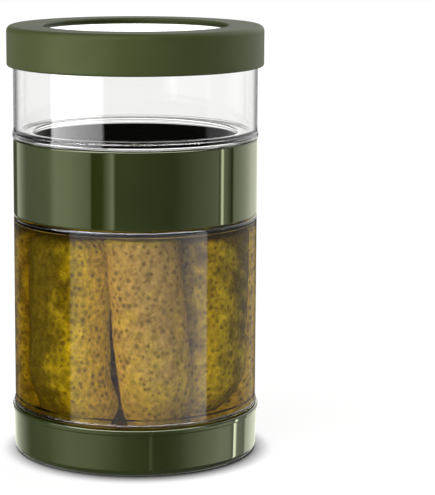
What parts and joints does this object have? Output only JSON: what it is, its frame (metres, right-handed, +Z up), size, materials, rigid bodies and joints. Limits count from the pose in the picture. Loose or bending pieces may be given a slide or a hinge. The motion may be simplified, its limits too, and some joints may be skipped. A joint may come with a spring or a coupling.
{
  "type": "pickle jar",
  "caption": "Flip-over pickle jar: a clear main jar and a small clear jar screwed into a green strainer ring, with a screw cap as its foot and a soft boot on the other end.",
  "frame": {"origin": "centre of the base cap's flat underside", "axes": "+Z up along the jar's axis, from the base cap to the boot; +X and +Y are any two square directions across it"},
  "size_m": [0.1048, 0.1048, 0.1757],
  "materials": {
    "green_plastic": "glossy",
    "strainer_plastic": "glossy",
    "green_silicone": "matt",
    "pale_silicone": "satin",
    "dark_silicone": "matt",
    "clear_glass": "clear, polished"
  },
  "bodies": {
    "main_jar": {"main_jar": "clear_glass"},
    "base_cap_seal": {"base_cap_seal": "pale_silicone"},
    "base_cap": {"base_cap": "green_plastic"},
    "ring_lower_seal": {"ring_lower_seal": "dark_silicone"},
    "strainer_ring": {"strainer_ring": "green_plastic", "strainer": "strainer_plastic"},
    "ring_upper_seal": {"ring_upper_seal": "dark_silicone"},
    "small_jar": {"small_jar": "clear_glass"},
    "boot": {"boot": "green_silicone"}
  },
  "joints": [
    {"name": "base_cap_lift", "type": "slide", "parent": "main_jar", "child": "base_cap_seal", "axis": [0, 0, -1], "range_m": [0, 0.016]},
    {"name": "base_cap_screw", "type": "hinge", "parent": "base_cap_seal", "child": "base_cap", "pos_m": [0, 0, 0.003], "axis": [0, 0, -1], "range_deg": [0, 1440]},
    {"name": "strainer_ring_lift", "type": "slide", "parent": "main_jar", "child": "ring_lower_seal", "axis": [0, 0, 1], "range_m": [0, 0.014]},
    {"name": "strainer_ring_screw", "type": "hinge", "parent": "ring_lower_seal", "child": "strainer_ring", "pos_m": [0, 0, 0.11315], "axis": [0, 0, 1], "range_deg": [0, 1260]},
    {"name": "small_jar_lift", "type": "slide", "parent": "strainer_ring", "child": "ring_upper_seal", "axis": [0, 0, 1], "range_m": [0, 0.014]},
    {"name": "small_jar_screw", "type": "hinge", "parent": "ring_upper_seal", "child": "small_jar", "pos_m": [0, 0, 0.11755], "axis": [0, 0, 1], "range_deg": [0, 1260]},
    {"name": "boot_pull", "type": "slide", "parent": "small_jar", "child": "boot", "axis": [0, 0, 1], "range_m": [0, 0.02]}
  ],
  "couplings": [
    {"joint": "base_cap_lift", "follows": "base_cap_screw", "m_per_rad": 0.0006366},
    {"joint": "strainer_ring_lift", "follows": "strainer_ring_screw", "m_per_rad": 0.0006366},
    {"joint": "small_jar_lift", "follows": "small_jar_screw", "m_per_rad": 0.0006366}
  ]
}
